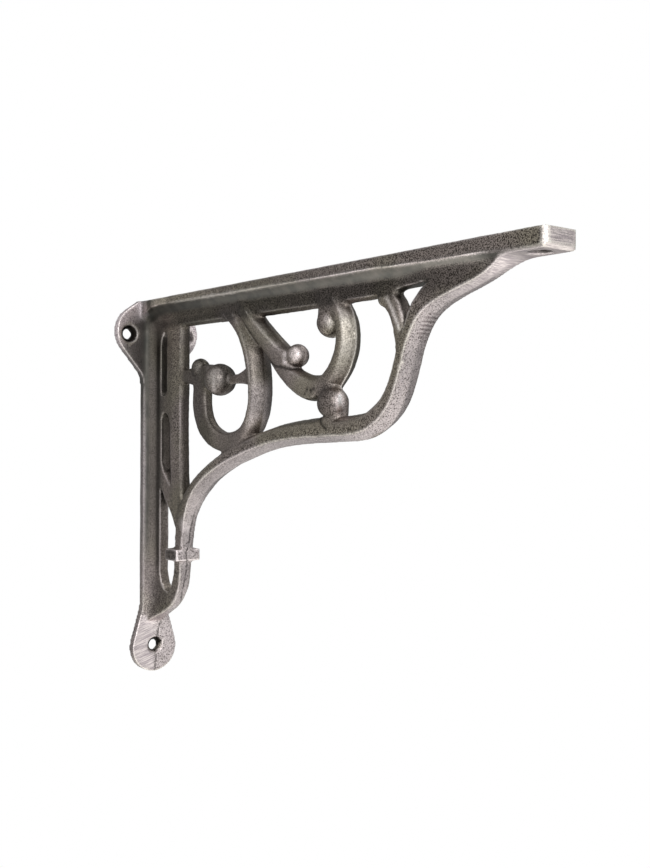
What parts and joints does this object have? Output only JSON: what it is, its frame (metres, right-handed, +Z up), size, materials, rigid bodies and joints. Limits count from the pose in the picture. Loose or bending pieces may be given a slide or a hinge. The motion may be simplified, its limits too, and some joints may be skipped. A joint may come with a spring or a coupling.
{
  "type": "shelf bracket",
  "caption": "Cast-iron shelf bracket: flat arm over scrollwork and a double-curved brace, with an eared wall plate and countersunk screw holes.",
  "frame": {"origin": "on the wall face of the back plate, on the plane of the web, level with the two upper screws", "axes": "+X out from the wall along the arm, +Z up, Y across the bracket; Y = 0 is the plane of the web"},
  "size_m": [0.254, 0.0439, 0.178],
  "materials": {
    "cast_iron": "burnished bare casting, sand-grained, with linished front edges"
  },
  "bodies": {
    "root": {"bracket": "cast_iron"}
  },
  "joints": []
}
